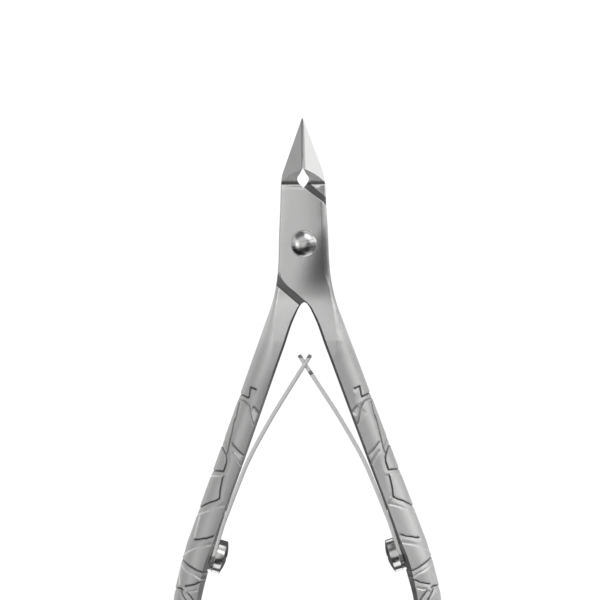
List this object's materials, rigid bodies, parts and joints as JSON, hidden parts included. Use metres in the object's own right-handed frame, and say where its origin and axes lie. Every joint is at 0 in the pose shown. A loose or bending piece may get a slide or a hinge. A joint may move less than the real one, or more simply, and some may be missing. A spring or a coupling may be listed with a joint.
{
  "type": "cuticle nipper",
  "caption": "Cuticle nipper with half-lapped levers on a pivot screw, pointed jaws meeting on a straight cutting line, carved handles and crossed leaf springs.",
  "frame": {"origin": "on the pivot axis, in the plane of the flat back face of the lap joint, which the tool rests on", "axes": "+Y to the jaw tips, +Z out of the pivot screw's head, +X to the side of the front lever's handle"},
  "size_m": [0.0514, 0.114, 0.0078],
  "materials": {
    "lever_steel": "satin ground joint and jaws, bead blasted handles with carved plates",
    "spring_steel": "satin spring steel",
    "screw_steel": "polished"
  },
  "bodies": {
    "back": {"back_lever": "lever_steel", "pivot_screw": "screw_steel", "left_spring_screw": "screw_steel"},
    "front": {"front_lever": "lever_steel", "right_spring_screw": "screw_steel"},
    "left_leaf": {"left_spring": "spring_steel"},
    "right_leaf": {"right_spring": "spring_steel"}
  },
  "joints": [
    {"name": "pivot", "type": "hinge", "parent": "back", "child": "front", "pos_m": [0, 0, 0.0035], "axis": [0, 0, 1], "range_deg": [0, 14], "stiffness_Nm_per_rad": 1.5, "springref_deg": 20.05},
    {"name": "left_leaf_flex", "type": "hinge", "parent": "back", "child": "left_leaf", "pos_m": [-0.01741, -0.0581, 0.0035], "axis": [0, 0, 1], "range_deg": [-5, 0], "deforming": ["left_spring"]},
    {"name": "right_leaf_flex", "type": "hinge", "parent": "front", "child": "right_leaf", "pos_m": [0.01741, -0.0581, 0.0035], "axis": [0, 0, 1], "range_deg": [0, 5], "deforming": ["right_spring"]}
  ],
  "couplings": [
    {"joint": "left_leaf_flex", "follows": "pivot", "ratio": -0.34},
    {"joint": "right_leaf_flex", "follows": "pivot", "ratio": 0.34}
  ]
}
